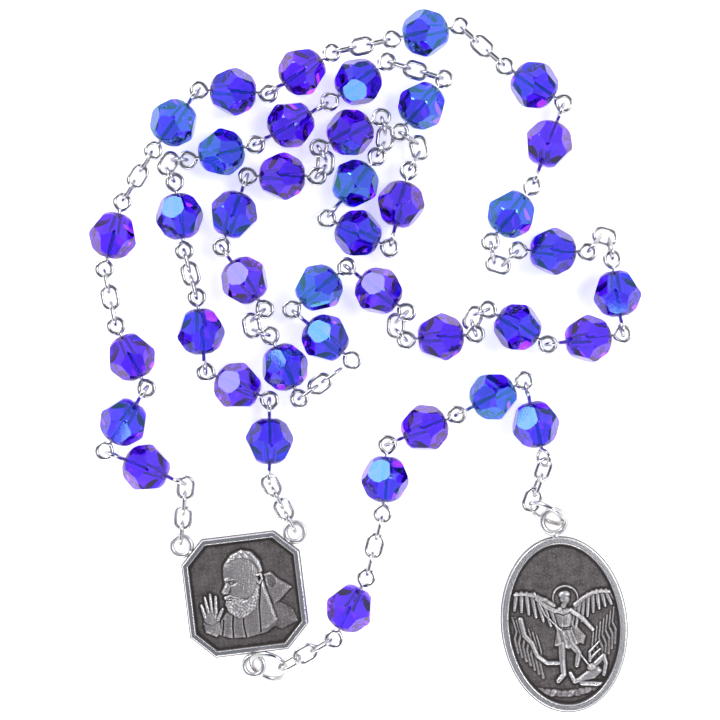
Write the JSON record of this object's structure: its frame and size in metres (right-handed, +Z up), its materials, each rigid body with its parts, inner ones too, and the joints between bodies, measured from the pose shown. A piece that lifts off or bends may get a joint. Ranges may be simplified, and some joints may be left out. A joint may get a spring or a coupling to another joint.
{
  "type": "rosary",
  "caption": "Chaplet rosary of faceted violet-blue glass beads on silver eye pins and oval-link chain, with an octagonal centre medal and a drop ending in an oval medal.",
  "frame": {"origin": "middle of the footprint of the laid-out chaplet, on the table plane", "axes": "+X to the right of the laid-out chaplet, +Y from the medals towards the far bend of the loop, +Z up out of the table"},
  "size_m": [0.0902, 0.1152, 0.008],
  "materials": {
    "bead_glass": "polished faceted blue-violet glass with an iridescent coating, threaded on bright silver wire",
    "chain_silver": "bright silver-plated round wire",
    "medal_silver": "cast silver-toned metal, oxidised dark in the recesses and worn bright on the rims and relief"
  },
  "bodies": {
    "group1_bead1": {"group1_bead1": "bead_glass"},
    "group1_bead2": {"group1_bead2": "bead_glass"},
    "group1_bead3": {"group1_bead3": "bead_glass"},
    "group2_bead1": {"group2_bead1": "bead_glass"},
    "group2_bead2": {"group2_bead2": "bead_glass"},
    "group2_bead3": {"group2_bead3": "bead_glass"},
    "group3_bead1": {"group3_bead1": "bead_glass"},
    "group3_bead2": {"group3_bead2": "bead_glass"},
    "group3_bead3": {"group3_bead3": "bead_glass"},
    "group4_bead1": {"group4_bead1": "bead_glass"},
    "group4_bead2": {"group4_bead2": "bead_glass"},
    "group4_bead3": {"group4_bead3": "bead_glass"},
    "group5_bead1": {"group5_bead1": "bead_glass"},
    "group5_bead2": {"group5_bead2": "bead_glass"},
    "group5_bead3": {"group5_bead3": "bead_glass"},
    "group6_bead1": {"group6_bead1": "bead_glass"},
    "group6_bead2": {"group6_bead2": "bead_glass"},
    "group6_bead3": {"group6_bead3": "bead_glass"},
    "group7_bead1": {"group7_bead1": "bead_glass"},
    "group7_bead2": {"group7_bead2": "bead_glass"},
    "group7_bead3": {"group7_bead3": "bead_glass"},
    "group8_bead1": {"group8_bead1": "bead_glass"},
    "group8_bead2": {"group8_bead2": "bead_glass"},
    "group8_bead3": {"group8_bead3": "bead_glass"},
    "group9_bead1": {"group9_bead1": "bead_glass"},
    "group9_bead2": {"group9_bead2": "bead_glass"},
    "group9_bead3": {"group9_bead3": "bead_glass"},
    "drop_bead1": {"drop_bead1": "bead_glass"},
    "drop_bead2": {"drop_bead2": "bead_glass"},
    "drop_bead3": {"drop_bead3": "bead_glass"},
    "drop_bead4": {"drop_bead4": "bead_glass"},
    "single1_bead": {"single1_bead": "bead_glass"},
    "single2_bead": {"single2_bead": "bead_glass"},
    "single4_bead": {"single4_bead": "bead_glass"},
    "single7_bead": {"single7_bead": "bead_glass"},
    "single8_bead": {"single8_bead": "bead_glass"},
    "single9_bead": {"single9_bead": "bead_glass"},
    "chain_left": {"chain_left": "chain_silver"},
    "chain1": {"chain1": "chain_silver"},
    "chain2": {"chain2": "chain_silver"},
    "chain3": {"chain3": "chain_silver"},
    "chain4": {"chain4": "chain_silver"},
    "chain14": {"chain14": "chain_silver"},
    "chain16": {"chain16": "chain_silver"},
    "chain_right": {"chain_right": "chain_silver"},
    "chain_b": {"chain_b": "chain_silver"},
    "chain7": {"chain7": "chain_silver"},
    "chain8": {"chain8": "chain_silver"},
    "chain13": {"chain13": "chain_silver"},
    "chain15": {"chain15": "chain_silver"},
    "chain5_6": {"chain5_6": "chain_silver", "single3_bead": "bead_glass"},
    "chain9_10": {"chain9_10": "chain_silver", "single5_bead": "bead_glass"},
    "chain11_12": {"chain11_12": "chain_silver", "single6_bead": "bead_glass"},
    "centre_ring_chain": {"centre_ring_chain": "chain_silver"},
    "end_ring_chain": {"end_ring_chain": "chain_silver"},
    "centre_medal": {"centre_medal": "medal_silver"},
    "end_medal": {"end_medal": "medal_silver"}
  },
  "joints": [
    {"name": "swing_chain_left", "type": "hinge", "parent": "centre_medal", "child": "chain_left", "pos_m": [-0.03019, -0.02872, 0.0016], "axis": [-0.994, 0.1098, 0], "range_deg": [-60, 60]},
    {"name": "swing_group1_bead1", "type": "hinge", "parent": "chain_left", "child": "group1_bead1", "pos_m": [-0.03043, -0.01949, 0.004], "axis": [0.3746, 0.9272, 0], "range_deg": [-60, 60]},
    {"name": "swing_group1_bead2", "type": "hinge", "parent": "group1_bead1", "child": "group1_bead2", "pos_m": [-0.041, -0.01522, 0.004], "axis": [0.3746, 0.9272, 0], "range_deg": [-60, 60]},
    {"name": "swing_group1_bead3", "type": "hinge", "parent": "group1_bead2", "child": "group1_bead3", "pos_m": [-0.0362, -0.00513, 0.004], "axis": [-0.829, 0.5592, 0], "range_deg": [-60, 60]},
    {"name": "swing_chain1", "type": "hinge", "parent": "group1_bead3", "child": "chain1", "pos_m": [-0.04094, 0.00725, 0.004], "axis": [-0.979, -0.2038, 0], "range_deg": [-60, 60]},
    {"name": "swing_single1_bead", "type": "hinge", "parent": "chain1", "child": "single1_bead", "pos_m": [-0.04231, 0.01379, 0.004], "axis": [0.979, 0.2038, 0], "range_deg": [-60, 60]},
    {"name": "swing_chain2", "type": "hinge", "parent": "single1_bead", "child": "chain2", "pos_m": [-0.03889, 0.0274, 0.004], "axis": [0.858, -0.5137, 0], "range_deg": [-60, 60]},
    {"name": "swing_group2_bead1", "type": "hinge", "parent": "chain2", "child": "group2_bead1", "pos_m": [-0.03539, 0.03325, 0.004], "axis": [-0.858, 0.5137, 0], "range_deg": [-60, 30]},
    {"name": "swing_group2_bead2", "type": "hinge", "parent": "group2_bead1", "child": "group2_bead2", "pos_m": [-0.02778, 0.0436, 0.004], "axis": [-0.7986, 0.6018, 0], "range_deg": [-60, 60]},
    {"name": "swing_group2_bead3", "type": "hinge", "parent": "group2_bead2", "child": "group2_bead3", "pos_m": [-0.015, 0.04432, 0.004], "axis": [-0.5446, 0.8387, 0], "range_deg": [-60, 60]},
    {"name": "swing_chain3", "type": "hinge", "parent": "group2_bead3", "child": "chain3", "pos_m": [-0.00396, 0.05085, 0.004], "axis": [0.214, -0.9768, 0], "range_deg": [-60, 60]},
    {"name": "swing_single2_bead", "type": "hinge", "parent": "chain3", "child": "single2_bead", "pos_m": [0.00282, 0.05233, 0.004], "axis": [0.214, -0.9768, 0], "range_deg": [-60, 60]},
    {"name": "swing_chain4", "type": "hinge", "parent": "single2_bead", "child": "chain4", "pos_m": [0.0166, 0.05384, 0.004], "axis": [-0.6652, -0.7466, 0], "range_deg": [-60, 60]},
    {"name": "swing_group3_bead1", "type": "hinge", "parent": "chain4", "child": "group3_bead1", "pos_m": [0.02174, 0.04926, 0.004], "axis": [-0.6652, -0.7466, 0], "range_deg": [-60, 60]},
    {"name": "swing_group3_bead2", "type": "hinge", "parent": "group3_bead1", "child": "group3_bead2", "pos_m": [0.03202, 0.04092, 0.004], "axis": [0.9336, -0.3584, 0], "range_deg": [-60, 60]},
    {"name": "swing_group3_bead3", "type": "hinge", "parent": "group3_bead2", "child": "group3_bead3", "pos_m": [0.02794, 0.03027, 0.004], "axis": [-0.9336, 0.3584, 0], "range_deg": [-60, 60]},
    {"name": "swing_chain5_6", "type": "hinge", "parent": "group3_bead3", "child": "chain5_6", "pos_m": [0.02071, 0.01835, 0.004], "axis": [0.9813, 0.1925, 0], "range_deg": [-60, 60]},
    {"name": "swing_group4_bead1", "type": "hinge", "parent": "chain5_6", "child": "group4_bead1", "pos_m": [0.04023, 0.01804, 0.004], "axis": [-0.9914, -0.1308, 0], "range_deg": [-60, 60]},
    {"name": "swing_group4_bead2", "type": "hinge", "parent": "group4_bead1", "child": "group4_bead2", "pos_m": [0.04198, 0.0055, 0.004], "axis": [-0.9903, -0.1392, 0], "range_deg": [-60, 60]},
    {"name": "swing_group4_bead3", "type": "hinge", "parent": "group4_bead2", "child": "group4_bead3", "pos_m": [0.03083, 0.00297, 0.004], "axis": [0.1392, -0.9903, 0], "range_deg": [-60, 60]},
    {"name": "swing_chain7", "type": "hinge", "parent": "group4_bead3", "child": "chain7", "pos_m": [0.01912, 0.00819, 0.004], "axis": [0.3621, -0.9321, 0], "range_deg": [-60, 30]},
    {"name": "swing_single4_bead", "type": "hinge", "parent": "chain7", "child": "single4_bead", "pos_m": [0.01779, 0.00546, 0.004], "axis": [-0.9568, -0.2908, 0], "range_deg": [-30, 60]},
    {"name": "swing_chain8", "type": "hinge", "parent": "single4_bead", "child": "chain8", "pos_m": [0.00597, 0.00431, 0.004], "axis": [0.7169, 0.6972, 0], "range_deg": [-30, 60]},
    {"name": "swing_group5_bead1", "type": "hinge", "parent": "chain8", "child": "group5_bead1", "pos_m": [0.00606, 0.0074, 0.004], "axis": [-0.6759, 0.737, 0], "range_deg": [-60, 30]},
    {"name": "swing_group5_bead2", "type": "hinge", "parent": "group5_bead1", "child": "group5_bead2", "pos_m": [-0.00226, 0.01498, 0.004], "axis": [-0.6018, -0.7986, 0], "range_deg": [-60, 60]},
    {"name": "swing_group5_bead3", "type": "hinge", "parent": "group5_bead2", "child": "group5_bead3", "pos_m": [-0.01078, 0.0075, 0.004], "axis": [0.6428, 0.766, 0], "range_deg": [-60, 60]},
    {"name": "swing_chain_right", "type": "hinge", "parent": "centre_medal", "child": "chain_right", "pos_m": [-0.01201, -0.0268, 0.0016], "axis": [0.8936, 0.4489, 0], "range_deg": [-45, 45]},
    {"name": "swing_group9_bead3", "type": "hinge", "parent": "chain_right", "child": "group9_bead3", "pos_m": [-0.01559, -0.01864, 0.004], "axis": [1, 0, 0], "range_deg": [-60, 60]},
    {"name": "swing_group9_bead2", "type": "hinge", "parent": "group9_bead3", "child": "group9_bead2", "pos_m": [-0.01559, -0.00724, 0.004], "axis": [-1, 0, 0], "range_deg": [-60, 60]},
    {"name": "swing_group9_bead1", "type": "hinge", "parent": "group9_bead2", "child": "group9_bead1", "pos_m": [-0.02612, -0.00071, 0.004], "axis": [0.9925, 0.1219, 0], "range_deg": [-45, 45]},
    {"name": "swing_chain16", "type": "hinge", "parent": "group9_bead1", "child": "chain16", "pos_m": [-0.02775, 0.01153, 0.004], "axis": [-0.9658, -0.2592, 0], "range_deg": [-30, 30]},
    {"name": "swing_single8_bead", "type": "hinge", "parent": "chain16", "child": "single8_bead", "pos_m": [-0.02927, 0.01717, 0.004], "axis": [-0.9658, -0.2592, 0], "range_deg": [-60, 60]},
    {"name": "swing_chain15", "type": "hinge", "parent": "single8_bead", "child": "chain15", "pos_m": [-0.03174, 0.03048, 0.004], "axis": [0.8631, 0.505, 0], "range_deg": [-30, 0]},
    {"name": "swing_group8_bead3", "type": "hinge", "parent": "chain15", "child": "group8_bead3", "pos_m": [-0.03023, 0.03299, 0.004], "axis": [-0.0425, -0.9991, 0], "range_deg": [-60, 60]},
    {"name": "swing_group8_bead2", "type": "hinge", "parent": "group8_bead3", "child": "group8_bead2", "pos_m": [-0.01704, 0.03598, 0.004], "axis": [0.5, -0.866, 0], "range_deg": [-60, 60]},
    {"name": "swing_group8_bead1", "type": "hinge", "parent": "group8_bead2", "child": "group8_bead1", "pos_m": [-0.00717, 0.04168, 0.004], "axis": [0.5, -0.866, 0], "range_deg": [-60, 60]},
    {"name": "swing_chain14", "type": "hinge", "parent": "group8_bead1", "child": "chain14", "pos_m": [0.00497, 0.04859, 0.004], "axis": [-0.2859, -0.9583, 0], "range_deg": [-30, 30]},
    {"name": "swing_single7_bead", "type": "hinge", "parent": "chain14", "child": "single7_bead", "pos_m": [0.01154, 0.04663, 0.004], "axis": [-0.2859, -0.9583, 0], "range_deg": [-60, 60]},
    {"name": "swing_chain13", "type": "hinge", "parent": "single7_bead", "child": "chain13", "pos_m": [0.00671, 0.03683, 0.004], "axis": [-0.5112, -0.8594, 0], "range_deg": [0, 45]},
    {"name": "swing_group7_bead3", "type": "hinge", "parent": "chain13", "child": "group7_bead3", "pos_m": [0.00787, 0.03238, 0.004], "axis": [0.8648, -0.502, 0], "range_deg": [-60, 0]},
    {"name": "swing_group7_bead2", "type": "hinge", "parent": "group7_bead3", "child": "group7_bead2", "pos_m": [0.00448, 0.02023, 0.004], "axis": [0.9703, -0.2419, 0], "range_deg": [-60, 60]},
    {"name": "swing_group7_bead1", "type": "hinge", "parent": "group7_bead2", "child": "group7_bead1", "pos_m": [-0.0052, 0.02472, 0.004], "axis": [-0.7771, 0.6293, 0], "range_deg": [-60, 60]},
    {"name": "swing_chain11_12", "type": "hinge", "parent": "group7_bead1", "child": "chain11_12", "pos_m": [0.00257, 0.03469, 0.004], "axis": [0.8827, -0.47, 0], "range_deg": [-45, 0]},
    {"name": "swing_group6_bead3", "type": "hinge", "parent": "chain11_12", "child": "group6_bead3", "pos_m": [-0.00724, 0.03101, 0.004], "axis": [-0.7862, 0.618, 0], "range_deg": [-30, 45]},
    {"name": "swing_group6_bead2", "type": "hinge", "parent": "group6_bead3", "child": "group6_bead2", "pos_m": [-0.01953, 0.0294, 0.004], "axis": [0.9397, -0.342, 0], "range_deg": [-60, 60]},
    {"name": "swing_group6_bead1", "type": "hinge", "parent": "group6_bead2", "child": "group6_bead1", "pos_m": [-0.02288, 0.01791, 0.004], "axis": [0.8192, 0.5736, 0], "range_deg": [-60, 60]},
    {"name": "swing_chain9_10", "type": "hinge", "parent": "group6_bead1", "child": "chain9_10", "pos_m": [-0.0173, 0.00776, 0.004], "axis": [0.6511, -0.759, 0], "range_deg": [-15, 15]},
    {"name": "swing_centre_ring_chain", "type": "hinge", "parent": "centre_medal", "child": "centre_ring_chain", "pos_m": [-0.01572, -0.04997, 0.00252], "axis": [0.262, 0.6428, -0.7198], "range_deg": [0, 60]},
    {"name": "swing_single9_bead", "type": "hinge", "parent": "centre_ring_chain", "child": "single9_bead", "pos_m": [-0.00658, -0.04594, 0.004], "axis": [-0.4861, 0.8643, 0.1292], "range_deg": [-60, 60]},
    {"name": "swing_chain_b", "type": "hinge", "parent": "single9_bead", "child": "chain_b", "pos_m": [0.00068, -0.03358, 0.004], "axis": [0.9695, -0.2453, 0], "range_deg": [-60, 60]},
    {"name": "swing_drop_bead1", "type": "hinge", "parent": "chain_b", "child": "drop_bead1", "pos_m": [0.00248, -0.02649, 0.004], "axis": [0.9695, -0.2453, 0], "range_deg": [-60, 60]},
    {"name": "swing_drop_bead2", "type": "hinge", "parent": "drop_bead1", "child": "drop_bead2", "pos_m": [0.00456, -0.0131, 0.004], "axis": [-0.3907, 0.9205, 0], "range_deg": [-60, 60]},
    {"name": "swing_drop_bead3", "type": "hinge", "parent": "drop_bead2", "child": "drop_bead3", "pos_m": [0.0159, -0.00821, 0.004], "axis": [-0.454, 0.891, 0], "range_deg": [-60, 60]},
    {"name": "swing_drop_bead4", "type": "hinge", "parent": "drop_bead3", "child": "drop_bead4", "pos_m": [0.02647, -0.00469, 0.004], "axis": [-0.9703, -0.2419, 0], "range_deg": [-60, 60]},
    {"name": "swing_end_ring_chain", "type": "hinge", "parent": "drop_bead4", "child": "end_ring_chain", "pos_m": [0.02923, -0.01575, 0.004], "axis": [-0.6861, -0.1711, 0.7071], "range_deg": [-60, 60]},
    {"name": "swing_end_medal", "type": "hinge", "parent": "end_ring_chain", "child": "end_medal", "pos_m": [0.02969, -0.02475, 0.0032], "axis": [0.4636, 0.803, -0.3746], "range_deg": [-60, 60]}
  ]
}
